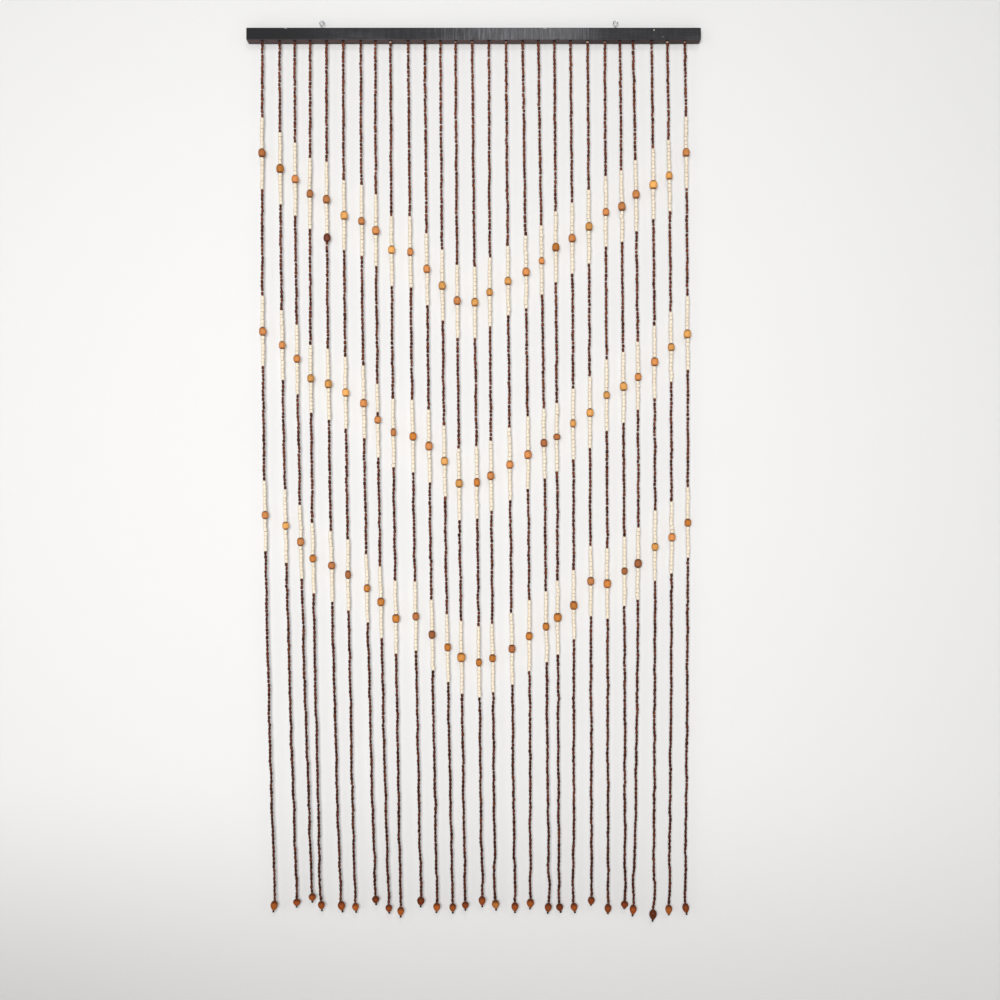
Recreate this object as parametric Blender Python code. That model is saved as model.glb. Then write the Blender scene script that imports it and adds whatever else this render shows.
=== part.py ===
"""A bead curtain: 27 threaded strands of wooden beads that hang from a square rail on two screw eyes.

Metres, +Z up. The origin lies in the middle of the rail's length, level with the middles of the two
eyes' rings, where the curtain is hung. +X runs along the rail and -Y is the side that is looked at.
"""
import math
import random
from collections import namedtuple

import bmesh
import bpy

MM = 0.001
CLEARANCE = 0.3 * MM

# The rail is a square wooden bar with eased edges
RAIL_LENGTH = 900 * MM
RAIL_SIDE = 24 * MM
RAIL_EASED_EDGE = 1.2 * MM

# The two screw eyes are bent from round wire and screwed into the rail's top
EYE_X = {"screw_eye_left": -302 * MM, "screw_eye_right": 282 * MM}
EYE_WIRE = 1.7 * MM
EYE_RING_OUTSIDE = 10.4 * MM
EYE_HEIGHT = 13 * MM
EYE_SCREWED_IN = 11 * MM
EYE_RING_STEPS = 24
EYE_WIRE_SIDES = 8

RAIL_TOP = -EYE_HEIGHT
RAIL_UNDERSIDE = RAIL_TOP - RAIL_SIDE

# Each strand's cord is pegged into its own countersunk hole in the rail's underside, nearer its front
# than its middle plane, with a knot below it
ROOT_HOLE_FORWARD = 6.5 * MM
ROOT_HOLE_DIAMETER = 4.2 * MM
COUNTERSINK_DIAMETER = 8 * MM
COUNTERSINK_DEPTH = 2 * MM
ROOT_HOLE_DEPTH = 9 * MM
ROOT_HOLE_SIDES = 8
KNOT_DIAMETER = 5.4 * MM
KNOT_NECK = 1.8 * MM
KNOT_SPAN = (1.2 * MM, 2.8 * MM, 4.6 * MM)
FIRST_BEAD = 5 * MM

# Small rice-shaped beads, brown along most of a strand and cream on both sides of each large bead
BROWN_BEAD_DIAMETER = 5.8 * MM
CREAM_BEAD_DIAMETER = 6.8 * MM
CREAM_REACH = 70 * MM
LONGEST_STEP = 180 * MM

# Large drum-shaped beads: level rings as shares of half the height and of the radius
LARGE_BEAD_DIAMETER = 14.2 * MM
LARGE_BEAD_HEIGHT = 16.5 * MM
LARGE_BEAD_SPREAD = 0.07
LARGE_BEAD_RINGS = ((-0.92, 0.74), (-0.52, 1.0), (0.52, 1.0), (0.92, 0.74))

# The drop bead that ends a strand: level rings as shares of its length and radius, from its top
DROP_DIAMETER = 14.6 * MM
DROP_SPREAD = 0.06
DROP_RINGS = ((0.05, 0.40), (0.38, 1.0), (0.70, 0.82), (0.98, 0.28))

# The knot under the drop bead, of which hardly anything shows on some strands
TAIL_LENGTH = 3.5 * MM
SHORT_TAIL_LENGTH = 0.8 * MM
SHORT_TAIL_STRANDS = (21, 22, 23, 26)
TAIL_DIAMETERS = (4.2 * MM, 3 * MM)

# How far a strand's tip may hang in front of or behind its hole
DEPTH_DRIFT = 2.5 * MM

StrandRow = namedtuple("StrandRow", "top_x lean bow row_1 row_2 row_3 tip drop drop_tilt")

# One row for each strand, from left to right, in millimetres and degrees:
# top_x is where it leaves the rail, from the rail's middle, and lean how far its tip hangs to the right
# of that; bow is how far its middle hangs to the right of the straight line between the two;
# row_1, row_2 and row_3 are the depths of its large beads and tip that of its lowest point, all below
# the rail's top; drop is the height of its drop bead with the knot, and drop_tilt how far that points
# to the right of straight down.
STRANDS = [StrandRow(*row) for row in (
    (-419, 26, -9, 247, 601, 965, 1753, 25, -10),
    (-385, 35, -8, 278, 628, 986, 1745, 19, -4),
    (-355, 36, -9, 299, 655, 1018, 1734, 20, -2),
    (-324, 22, -8, 328, 694, 1051, 1751, 22, 4),
    (-292, 29, -8, 339, 705, 1065, 1754, 24, 8),
    (-259, 24, -5, 371, 722, 1083, 1755, 21, 6),
    (-224, 30, -7, 382, 743, 1110, 1739, 20, 2),
    (-195, 27, -7, 401, 776, 1137, 1756, 20, 3),
    (-165, 21, -4, 439, 801, 1170, 1764, 23, -2),
    (-130, 26, -3, 443, 809, 1166, 1744, 23, -3),
    (-97, 25, -3, 477, 828, 1202, 1755, 22, -5),
    (-66, 25, -4, 510, 858, 1227, 1756, 22, -1),
    (-36, 20, -3, 540, 902, 1247, 1750, 20, -1),
    (-3, 20, -1, 543, 900, 1257, 1743, 24, 0),
    (30, 13, -2, 523, 887, 1249, 1751, 23, 4),
    (64, 18, -1, 501, 865, 1230, 1755, 23, 0),
    (97, 16, 3, 483, 845, 1205, 1748, 23, -3),
    (128, 21, 2, 461, 822, 1186, 1756, 23, -6),
    (160, 9, 1, 434, 810, 1168, 1755, 20, 12),
    (192, 6, 3, 416, 783, 1144, 1756, 22, 8),
    (226, 8, 1, 393, 762, 1096, 1739, 19, -5),
    (260, 7, 1, 364, 727, 1101, 1757, 21, -2),
    (290, 10, 3, 353, 710, 1076, 1747, 17, -4),
    (316, 1, 10, 329, 691, 1061, 1762, 25, -5),
    (353, 3, 5, 310, 661, 1028, 1772, 26, -3),
    (384, 3, 7, 292, 632, 1009, 1759, 22, 0),
    (419, 0, 6, 246, 606, 980, 1759, 25, 9),
)]

# Large beads that differ plainly from the rest: (strand, row) to (diameter, height)
ODD_LARGE_BEADS = {
    (5, 3): (14.7 * MM, 14.8 * MM),
    (6, 3): (12 * MM, 17 * MM),
    (9, 2): (11.4 * MM, 16 * MM),
    (10, 1): (12.3 * MM, 16.6 * MM),
    (13, 3): (16.7 * MM, 18.4 * MM),
    (14, 2): (12.4 * MM, 17.3 * MM),
    (14, 3): (12 * MM, 15.6 * MM),
    (18, 1): (12 * MM, 14.5 * MM),
    (19, 2): (14.5 * MM, 12.6 * MM),
    (19, 3): (15.8 * MM, 17.8 * MM),
    (20, 2): (12.3 * MM, 16.5 * MM),
    (23, 3): (12.6 * MM, 14.3 * MM),
    (25, 1): (16 * MM, 17.2 * MM),
}

# One strand has a fourth large bead, where its first cream run ends
EXTRA_BEAD_STRAND = 5
EXTRA_BEAD_DEPTH = 415 * MM

LargeBead = namedtuple("LargeBead", "depth diameter height cream_reach")
Ring = namedtuple("Ring", "depth radius sides")


def clear_scene():
    """Takes every object out of the file, so that the model starts empty."""
    for old in list(bpy.data.objects):
        bpy.data.objects.remove(old, do_unlink=True)


def finish(name, colour, roughness, metallic=0.0):
    """A plain Principled finish."""
    material = bpy.data.materials.new(name)
    material.use_nodes = True
    shader = material.node_tree.nodes["Principled BSDF"]
    shader.inputs["Base Color"].default_value = (*colour, 1.0)
    shader.inputs["Roughness"].default_value = roughness
    shader.inputs["Metallic"].default_value = metallic
    return material


def add_object(name, mesh, material, location, parent):
    """Turns a bmesh into a named object at its place under the parent."""
    data = bpy.data.meshes.new(name)
    bmesh.ops.recalc_face_normals(mesh, faces=mesh.faces)
    mesh.to_mesh(data)
    mesh.free()
    data.materials.append(material)
    piece = bpy.data.objects.new(name, data)
    bpy.context.scene.collection.objects.link(piece)
    piece.location = location
    piece.parent = parent
    return piece


def add_ring(mesh, middle, radius, sides):
    """Adds a level ring of points round a middle, the first of them towards +X."""
    x, y, z = middle
    turn = 2 * math.pi / sides
    return [
        mesh.verts.new((x + radius * math.cos(turn * k), y + radius * math.sin(turn * k), z))
        for k in range(sides)
    ]


def join_rings(mesh, upper, lower):
    """Walls in the band between two rings that have equally many points, or 4 and 8."""
    if len(upper) == len(lower):
        for k, start in enumerate(upper):
            after = (k + 1) % len(upper)
            mesh.faces.new((start, lower[k], lower[after], upper[after]))
        return
    coarse, fine = (upper, lower) if len(upper) < len(lower) else (lower, upper)
    for k, corner in enumerate(coarse):
        next_corner = coarse[(k + 1) % len(coarse)]
        near = fine[2 * k]
        between = fine[2 * k + 1]
        far = fine[(2 * k + 2) % len(fine)]
        mesh.faces.new((corner, near, between))
        mesh.faces.new((corner, between, next_corner))
        mesh.faces.new((next_corner, between, far))


def add_loft(mesh, rings):
    """Walls in all rings from the top one to the bottom one, and closes both ends."""
    for upper, lower in zip(rings, rings[1:]):
        join_rings(mesh, upper, lower)
    mesh.faces.new(rings[0])
    mesh.faces.new(list(reversed(rings[-1])))


def add_turned(mesh, x, y, levels, sides):
    """Adds an upright turned solid at x and y, from its levels' heights and diameters, top to bottom."""
    add_loft(mesh, [add_ring(mesh, (x, y, z), diameter / 2, sides) for z, diameter in levels])


def build_rail(material, parent):
    """The square bar, with a countersunk root hole for each strand below and a pilot hole for each eye."""
    mesh = bmesh.new()
    bmesh.ops.create_cube(mesh, size=1.0)
    bmesh.ops.scale(mesh, vec=(RAIL_LENGTH, RAIL_SIDE, RAIL_SIDE), verts=mesh.verts)
    bmesh.ops.bevel(
        mesh, geom=mesh.edges[:], offset=RAIL_EASED_EDGE, segments=2, profile=0.5, affect="EDGES"
    )
    bmesh.ops.translate(mesh, vec=(0, 0, (RAIL_TOP + RAIL_UNDERSIDE) / 2), verts=mesh.verts)
    rail = add_object("rail", mesh, material, (0, 0, 0), parent)

    cuts = bmesh.new()
    overshoot = 2 * MM
    root_hole = (
        (RAIL_UNDERSIDE + ROOT_HOLE_DEPTH, ROOT_HOLE_DIAMETER),
        (RAIL_UNDERSIDE + COUNTERSINK_DEPTH, ROOT_HOLE_DIAMETER),
        (RAIL_UNDERSIDE, COUNTERSINK_DIAMETER),
        (RAIL_UNDERSIDE - overshoot, COUNTERSINK_DIAMETER),
    )
    for strand in STRANDS:
        add_turned(cuts, strand.top_x * MM, -ROOT_HOLE_FORWARD, root_hole, ROOT_HOLE_SIDES)
    eye_hole_diameter = EYE_WIRE + 2 * CLEARANCE
    eye_hole = (
        (RAIL_TOP + overshoot, eye_hole_diameter),
        (RAIL_TOP - EYE_SCREWED_IN - CLEARANCE, eye_hole_diameter),
    )
    for eye_x in EYE_X.values():
        add_turned(cuts, eye_x, 0, eye_hole, EYE_WIRE_SIDES)
    cutter = add_object("rail_drilling", cuts, material, (0, 0, 0), parent)
    cutter.hide_render = True
    cutter.display_type = "WIRE"
    drilling = rail.modifiers.new("drilling", "BOOLEAN")
    drilling.operation = "DIFFERENCE"
    drilling.solver = "EXACT"
    drilling.object = cutter


def build_eye(name, material, parent):
    """A screw eye: a ring of wire, open from front to back, on a shank that goes into the rail."""
    ring_radius = (EYE_RING_OUTSIDE - EYE_WIRE) / 2
    bpy.ops.mesh.primitive_torus_add(
        major_radius=ring_radius, minor_radius=EYE_WIRE / 2,
        major_segments=EYE_RING_STEPS, minor_segments=EYE_WIRE_SIDES,
        location=(EYE_X[name], 0, 0), rotation=(math.pi / 2, 0, 0),
    )
    eye = bpy.context.object
    eye.name = name
    eye.data.name = name
    eye.data.materials.append(material)
    eye.parent = parent

    shank = bmesh.new()
    shank_levels = (
        (-ring_radius, EYE_WIRE / 2),
        (RAIL_TOP - 0.8 * EYE_SCREWED_IN, EYE_WIRE / 2),
        (RAIL_TOP - EYE_SCREWED_IN, EYE_WIRE / 6),
    )
    add_loft(shank, [add_ring(shank, (0, 0, z), radius, EYE_WIRE_SIDES) for z, radius in shank_levels])
    shank_object = add_object(name + "_shank", shank, material, (EYE_X[name], 0, 0), parent)
    shank_object.hide_render = True
    shank_object.display_type = "WIRE"
    weld = eye.modifiers.new("shank", "BOOLEAN")
    weld.operation = "UNION"
    weld.solver = "EXACT"
    weld.object = shank_object


def large_beads(number, strand, chance):
    """The strand's large beads from the top down, each a little different in size."""
    beads = []
    for row, depth in enumerate((strand.row_1, strand.row_2, strand.row_3), start=1):
        spread = 1 + chance.uniform(-LARGE_BEAD_SPREAD, LARGE_BEAD_SPREAD)
        usual = (LARGE_BEAD_DIAMETER * spread, LARGE_BEAD_HEIGHT * spread)
        diameter, height = ODD_LARGE_BEADS.get((number, row), usual)
        beads.append(LargeBead(depth * MM, diameter, height, CREAM_REACH))
    if number == EXTRA_BEAD_STRAND:
        beads.append(LargeBead(EXTRA_BEAD_DEPTH, LARGE_BEAD_DIAMETER, LARGE_BEAD_HEIGHT, 0))
    return sorted(beads, key=lambda bead: bead.depth)


def run_rings(top, bottom, cream_end, cream_start):
    """Rings of one run of small beads between two large ones; cream shades off at the given depths."""
    brown = BROWN_BEAD_DIAMETER / 2
    cream = CREAM_BEAD_DIAMETER / 2
    rings = [Ring(top, cream if cream_end > top else brown, 4)]
    brown_top = max(top, cream_end)
    brown_bottom = min(bottom, cream_start)
    if brown_bottom > brown_top:
        steps = math.ceil((brown_bottom - brown_top) / LONGEST_STEP)
        levels = [brown_top + (brown_bottom - brown_top) * k / steps for k in range(steps + 1)]
        rings += [Ring(level, brown, 4) for level in levels if top < level < bottom]
    rings.append(Ring(bottom, cream if cream_start < bottom else brown, 4))
    return rings


def strand_rings(number, strand, chance):
    """All rings of a strand, from its root in the rail to the knot under its drop bead."""
    root_radius = ROOT_HOLE_DIAMETER / 2 - CLEARANCE
    root_top = RAIL_SIDE - ROOT_HOLE_DEPTH + CLEARANCE
    knot_top, knot_middle, knot_bottom = (RAIL_SIDE + level for level in KNOT_SPAN)
    rings = [
        Ring(root_top, root_radius, 4),
        Ring(knot_top, root_radius, 4),
        Ring(knot_middle, KNOT_DIAMETER / 2, 4),
        Ring(knot_bottom, KNOT_NECK / 2, 4),
    ]
    drop_top = (strand.tip - strand.drop) * MM
    run_top = RAIL_SIDE + FIRST_BEAD
    cream_end = 0
    for bead in large_beads(number, strand, chance):
        rings += run_rings(run_top, bead.depth - bead.height / 2, cream_end, bead.depth - bead.cream_reach)
        for level, width in LARGE_BEAD_RINGS:
            rings.append(Ring(bead.depth + level * bead.height / 2, width * bead.diameter / 2, 8))
        run_top = bead.depth + bead.height / 2
        cream_end = bead.depth + bead.cream_reach
    rings += run_rings(run_top, drop_top, cream_end, strand.tip * MM)
    drop_length = strand.drop * MM - (SHORT_TAIL_LENGTH if number in SHORT_TAIL_STRANDS else TAIL_LENGTH)
    drop_radius = DROP_DIAMETER / 2 * (1 + chance.uniform(-DROP_SPREAD, DROP_SPREAD))
    for level, width in DROP_RINGS:
        rings.append(Ring(drop_top + level * drop_length, width * drop_radius, 8))
    rings.append(Ring(drop_top + drop_length, TAIL_DIAMETERS[0] / 2, 4))
    rings.append(Ring(strand.tip * MM, TAIL_DIAMETERS[1] / 2, 4))
    return rings


def build_strand(number, strand, material, parent):
    """One strand: rings threaded on its bowed line below its hole, with the drop bead turned by its tilt."""
    chance = random.Random(number)
    depth_drift = chance.uniform(-DEPTH_DRIFT, DEPTH_DRIFT)
    hanging = strand.tip * MM - RAIL_SIDE
    drop_top = (strand.tip - strand.drop) * MM
    mesh = bmesh.new()
    levels = []
    for ring in strand_rings(number, strand, chance):
        share = max(0.0, (ring.depth - RAIL_SIDE) / hanging)
        x = (strand.lean * share + strand.bow * 4 * share * (1 - share)) * MM
        x += max(0.0, ring.depth - drop_top) * math.tan(math.radians(strand.drop_tilt))
        middle = (x, depth_drift * share, RAIL_SIDE - ring.depth)
        levels.append(add_ring(mesh, middle, ring.radius, ring.sides))
    add_loft(mesh, levels)
    root = (strand.top_x * MM, -ROOT_HOLE_FORWARD, RAIL_UNDERSIDE)
    strand_object = add_object(f"strand_{number:02d}", mesh, material, root, parent)
    strand_object.data.shade_smooth()
    strand_object.data.set_sharp_from_angle(angle=math.radians(50))


clear_scene()
curtain = bpy.data.objects.new("bead_curtain", None)
bpy.context.scene.collection.objects.link(curtain)
black_paint = finish("black_paint", (0.018, 0.018, 0.020), 0.45)
zinc_wire = finish("zinc_wire", (0.42, 0.43, 0.44), 0.4, metallic=1.0)
brown_beads = finish("brown_beads", (0.085, 0.023, 0.011), 0.48)
build_rail(black_paint, curtain)
for eye_name in EYE_X:
    build_eye(eye_name, zinc_wire, curtain)
for strand_number, strand_row in enumerate(STRANDS, start=1):
    build_strand(strand_number, strand_row, brown_beads, curtain)
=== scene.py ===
"""The looks of a wooden bead curtain: 27 threaded strands on a black rail with two screw eyes.

Metres, +Z up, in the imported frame. -Y is the side that the photograph shows.
"""

import math
from collections import namedtuple

import bpy
import numpy as np
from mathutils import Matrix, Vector


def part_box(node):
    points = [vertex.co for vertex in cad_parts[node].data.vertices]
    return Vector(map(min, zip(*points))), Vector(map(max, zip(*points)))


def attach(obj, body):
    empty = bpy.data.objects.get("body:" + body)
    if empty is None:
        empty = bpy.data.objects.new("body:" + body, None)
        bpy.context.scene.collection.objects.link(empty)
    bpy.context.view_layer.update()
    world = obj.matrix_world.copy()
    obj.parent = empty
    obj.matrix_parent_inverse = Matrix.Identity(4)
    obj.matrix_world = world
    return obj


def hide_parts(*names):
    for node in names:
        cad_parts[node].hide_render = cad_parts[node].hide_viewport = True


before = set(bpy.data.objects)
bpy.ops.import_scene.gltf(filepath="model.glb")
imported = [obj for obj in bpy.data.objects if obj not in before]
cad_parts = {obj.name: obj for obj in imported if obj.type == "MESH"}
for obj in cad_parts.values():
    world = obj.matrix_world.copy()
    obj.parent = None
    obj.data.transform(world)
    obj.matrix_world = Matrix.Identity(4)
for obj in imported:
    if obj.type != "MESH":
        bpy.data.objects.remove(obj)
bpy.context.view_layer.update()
MM = 0.001


# Camera
# It looks straight at the wall from about 2.5 m, a little right of the rail's middle and level with
# the middle of the picture, so the rail is seen from below and the drops from above.

CAMERA_DISTANCE = 2.45
PICTURE_WIDTH = 1.9885
PICTURE_MIDDLE = (0.0523, -0.948)
SENSOR_WIDTH = 36

camera_data = bpy.data.cameras.new("camera")
camera_data.sensor_width = SENSOR_WIDTH
camera_data.lens = SENSOR_WIDTH * CAMERA_DISTANCE / PICTURE_WIDTH
camera = bpy.data.objects.new("camera", camera_data)
bpy.context.scene.collection.objects.link(camera)
camera.location = (PICTURE_MIDDLE[0], -CAMERA_DISTANCE, PICTURE_MIDDLE[1])
camera.rotation_euler = (math.radians(90), 0, 0)
bpy.context.scene.camera = camera
bpy.context.scene.view_settings.view_transform = "Standard"


# Rail
# A square softwood bar, planed, drilled from below and brushed with thin near-black paint, which is
# rubbed grey on the planer's cross marks, nicked in front and thin below. The extra grey in its middle is
# partly wear and partly painted sheen, and the back of the underside is darkened by painted shade. The
# CAD rail has the right shape, so it stays and only gets this paint, with painted shade in the mouths of
# its holes.

PAINT_BLACK = (0.005, 0.005, 0.006)
PAINT_RUBBED = (0.105, 0.105, 0.116)
PAINT_THIN = (0.106, 0.070, 0.066)
PAINTED_HOLE_SHADE = (0.007, 0.003, 0.003)
BARE_SOFTWOOD = (0.500, 0.450, 0.390)
PAINT_GLOSS = 0.22
PAINT_DULLNESS = 0.42
MARKS_DULLER = 0.14
MIDDLE_GLOSSIER = 0.15
PLANER_RELIEF_SHARE = 0.6
BARE_RELIEF_SHARE = -1.5
OUTER_SKIN = 0.05 * MM
PAINTED_EDGE = 1.5 * MM
SHARP_EDGE = 0.2 * MM
UNDERSIDE_FADE = (0.4 * MM, 0.1 * MM)

# How fine each pattern is along, across and up the rail, and between which of its values it sets in
GRAIN_SCALE = (14, 260, 420)
GRAIN_SETS_IN = (0.52, 0.75)
PLANER_SCALE = (520, 30, 26)
PLANER_SETS_IN = (0.36, 0.72)
PLANER_DULLS = (0.35, 0.7)
PATCH_SCALE = (9, 30, 40)
PATCHES_SET_IN = (0.45, 0.75)
CHIP_SCALE = (120, 500, 500)
CHIPS_SET_IN = (0.68, 0.74)

# Places along the rail and, the last, across it, between which the paint changes
MIDDLE_FROM_LEFT = (-0.12, 0.03)
MIDDLE_FROM_RIGHT = (0.28, 0.18)
LEFT_END_TO_REST = (-0.38, -0.27)
MIDDLE_TO_RIGHT_END = (0.12, 0.24)
BACK_SHADE_SETS_IN = (4 * MM, 10 * MM)

# Shares of rubbed grey: on planer marks outside the middle, more of it in the middle, where the extra
# grey is partly painted sheen, in patches, and on the grain of the left end and of the rest
RUBBED_MARKS = 0.14
RUB_AND_PAINTED_SHEEN_IN_MIDDLE = 0.86
RUBBED_PATCHES = 0.18
RUBBED_GRAIN_AT_LEFT = 0.04
RUBBED_GRAIN_MORE = 0.18

# Share of thin paint below, less on the right and at the back edge, where painted shade darkens the
# underside, and of bare wood in nicks and chips
THIN_BELOW = 0.9
THIN_LESS_ON_RIGHT = 0.4
PAINTED_SHADE_AT_BACK = 0.7
BARE_SHARE = 0.8

# Each nick on the front: its place along the rail, its depth below the eyes' middles, its half-length
# and its half-height, in millimetres
RAIL_NICKS = (
    (357, 18.0, 1.5, 1.7),
    (375, 31.5, 0.5, 1.3),
    (-372, 14.6, 3.0, 0.7),
    (141, 14.8, 4.0, 0.6),
)


def add_node(tree, kind, inputs=(), **settings):
    """Adds a shader node, with its settings and the values or links of its inputs."""
    node = tree.nodes.new(kind)
    for name, value in settings.items():
        setattr(node, name, value)
    for key, value in dict(inputs).items():
        if isinstance(value, bpy.types.NodeSocket):
            tree.links.new(value, node.inputs[key])
        else:
            node.inputs[key].default_value = value
    return node


def calculate(tree, operation, *values, clamp=False):
    """One Math node: its operation on up to three values or sockets."""
    node = add_node(tree, "ShaderNodeMath", enumerate(values), operation=operation, use_clamp=clamp)
    return node.outputs[0]


def fade(tree, value, start, end):
    """0 where the value is at start or before, 1 at end or past it, and smooth in between."""
    inputs = {"Value": value, "From Min": start, "From Max": end}
    node = add_node(tree, "ShaderNodeMapRange", inputs, interpolation_type="SMOOTHSTEP")
    return node.outputs["Result"]


def mix_colours(tree, share, first, second, blend="MIX"):
    """The first colour where share is 0 and the second, or their blend, where it is 1."""
    inputs = {0: share, 6: first, 7: second}
    return add_node(tree, "ShaderNodeMix", inputs, data_type="RGBA", blend_type=blend).outputs[2]


def opaque(colour):
    """A colour with full alpha, as a colour socket holds it."""
    return (*colour, 1.0)


def new_material(name):
    """A material with a bare Principled shader: the material, its node tree and that shader."""
    material = bpy.data.materials.new(name)
    material.use_nodes = True
    return material, material.node_tree, material.node_tree.nodes["Principled BSDF"]


def object_place(tree):
    """Where a point is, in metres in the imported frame, in which every piece's mesh has its place."""
    return add_node(tree, "ShaderNodeTexCoord").outputs["Object"]


def stretched_noise(tree, place, scale, detail, roughness=0.6):
    """Noise of about unit size on a place that is first stretched by a scale for each axis."""
    mapping = add_node(tree, "ShaderNodeMapping", {"Vector": place, "Scale": scale})
    inputs = {"Vector": mapping.outputs[0], "Scale": 1.0, "Detail": detail, "Roughness": roughness}
    return add_node(tree, "ShaderNodeTexNoise", inputs).outputs[0]


def give_relief(tree, shader, strength, depth, height):
    """A fine relief of the shader's surface, from a pattern of heights."""
    inputs = {"Strength": strength, "Distance": depth, "Height": height}
    tree.links.new(add_node(tree, "ShaderNodeBump", inputs).outputs[0], shader.inputs["Normal"])


def rub_and_painted_sheen_share(tree, x, grain, planer, place):
    """How far the paint is rubbed grey: on the planer's marks, most in the middle, where the extra grey
    is partly painted sheen, and in patches, both off the left end. Returns it with the share of the grain
    that is rubbed, and the middle's mask."""
    patches = stretched_noise(tree, place, PATCH_SCALE, 4)
    middle = calculate(
        tree, "MULTIPLY", fade(tree, x, *MIDDLE_FROM_LEFT), fade(tree, x, *MIDDLE_FROM_RIGHT),
    )
    off_left_end = fade(tree, x, *LEFT_END_TO_REST)
    rubbed = calculate(tree, "MULTIPLY", off_left_end, RUBBED_MARKS)
    # Extra grey in the middle: partly wear, partly painted sheen
    rubbed = calculate(tree, "MULTIPLY_ADD", middle, RUB_AND_PAINTED_SHEEN_IN_MIDDLE, rubbed)
    rubbed = calculate(tree, "MULTIPLY", fade(tree, planer, *PLANER_SETS_IN), rubbed)
    patchy = calculate(tree, "MULTIPLY", fade(tree, patches, *PATCHES_SET_IN), off_left_end)
    rubbed = calculate(tree, "MULTIPLY_ADD", patchy, RUBBED_PATCHES, rubbed, clamp=True)
    on_grain = calculate(tree, "MULTIPLY_ADD", off_left_end, RUBBED_GRAIN_MORE, RUBBED_GRAIN_AT_LEFT)
    on_grain = calculate(tree, "MULTIPLY", fade(tree, grain, *GRAIN_SETS_IN), on_grain)
    return rubbed, on_grain, middle


def with_nicks(tree, bare, x, y, z):
    """The bare share, and 1 in each nick on the front. A nick is an ellipse with a soft rim."""
    front = calculate(tree, "LESS_THAN", y, 0.0)
    for along, depth, half_length, half_height in RAIL_NICKS:
        sideways = calculate(tree, "MULTIPLY_ADD", x, 1 / (half_length * MM), -along / half_length)
        upwards = calculate(tree, "MULTIPLY_ADD", z, 1 / (half_height * MM), depth / half_height)
        off = calculate(tree, "MULTIPLY", upwards, upwards)
        off = calculate(tree, "MULTIPLY_ADD", sideways, sideways, off)
        nick = calculate(tree, "MULTIPLY", fade(tree, off, 1.0, 0.5), front)
        bare = calculate(tree, "MAXIMUM", bare, nick)
    return bare


def black_paint():
    """Paint in layers: black, rubbed grey where the planer's cross marks and the grain lie, with painted
    sheen in the extra grey of the middle, thin and brownish below, darkened by painted shade towards the
    underside's back edge, painted shade inside the holes, and bare wood in the nicks and where a chip
    meets an edge."""
    material, tree, shader = new_material("black_paint")
    place = object_place(tree)
    x, y, z = add_node(tree, "ShaderNodeSeparateXYZ", {0: place}).outputs
    low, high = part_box("rail")
    middle_z = (low.z + high.z) / 2
    half_side = (high.z - low.z) / 2

    grain = stretched_noise(tree, place, GRAIN_SCALE, 6)
    planer = stretched_noise(tree, place, PLANER_SCALE, 3)
    rubbed, on_grain, middle = rub_and_painted_sheen_share(tree, x, grain, planer, place)
    colour = mix_colours(tree, rubbed, opaque(PAINT_BLACK), opaque(PAINT_RUBBED))
    colour = mix_colours(tree, on_grain, colour, opaque(PAINT_RUBBED))
    below = fade(tree, z, low.z + UNDERSIDE_FADE[0], low.z + UNDERSIDE_FADE[1])
    thin = fade(tree, x, *MIDDLE_TO_RIGHT_END)
    thin = calculate(tree, "MULTIPLY_ADD", thin, -THIN_LESS_ON_RIGHT, THIN_BELOW)
    # Towards the back edge the underside loses its thin paint and goes black: painted shade
    out_of_painted_back_shade = calculate(tree, "MULTIPLY_ADD", fade(tree, y, *BACK_SHADE_SETS_IN), -PAINTED_SHADE_AT_BACK, 1.0)
    thin = calculate(tree, "MULTIPLY", calculate(tree, "MULTIPLY", below, thin), out_of_painted_back_shade)
    colour = mix_colours(tree, thin, colour, opaque(PAINT_THIN))

    off_middle = calculate(tree, "ABSOLUTE", calculate(tree, "SUBTRACT", z, middle_z))
    off_front = calculate(tree, "ABSOLUTE", y)
    along_half = calculate(tree, "ABSOLUTE", x)
    # Inside the rail's outer skin, in the mouths of the holes, the colour is painted shade
    inside = calculate(tree, "LESS_THAN", off_middle, half_side - OUTER_SKIN)
    for away, most in ((off_front, half_side), (along_half, (high.x - low.x) / 2)):
        within = calculate(tree, "LESS_THAN", away, most - PAINTED_EDGE)
        inside = calculate(tree, "MULTIPLY", inside, within)
    colour = mix_colours(tree, inside, colour, opaque(PAINTED_HOLE_SHADE))

    near_top = fade(tree, off_middle, half_side - PAINTED_EDGE, half_side - SHARP_EDGE)
    near_front = fade(tree, off_front, half_side - PAINTED_EDGE, half_side - SHARP_EDGE)
    edge = calculate(tree, "MINIMUM", near_top, near_front)
    chipped = fade(tree, stretched_noise(tree, place, CHIP_SCALE, 3), *CHIPS_SET_IN)
    bare = with_nicks(tree, calculate(tree, "MULTIPLY", edge, chipped), x, y, z)
    bare_share = calculate(tree, "MULTIPLY", bare, BARE_SHARE)
    colour = mix_colours(tree, bare_share, colour, opaque(BARE_SOFTWOOD))
    tree.links.new(colour, shader.inputs["Base Color"])

    dull = fade(tree, planer, *PLANER_DULLS)
    dull = calculate(tree, "MULTIPLY_ADD", dull, MARKS_DULLER, PAINT_DULLNESS)
    dull = calculate(tree, "MULTIPLY_ADD", middle, -MIDDLE_GLOSSIER, dull)
    dull = calculate(tree, "MAXIMUM", dull, calculate(tree, "MAXIMUM", bare, below))
    tree.links.new(dull, shader.inputs["Roughness"])
    shader.inputs["Specular IOR Level"].default_value = PAINT_GLOSS
    relief = calculate(tree, "MULTIPLY_ADD", planer, PLANER_RELIEF_SHARE, grain)
    relief = calculate(tree, "MULTIPLY_ADD", bare, BARE_RELIEF_SHARE, relief)
    give_relief(tree, shader, 0.35, 0.25 * MM, relief)
    return material


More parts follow.
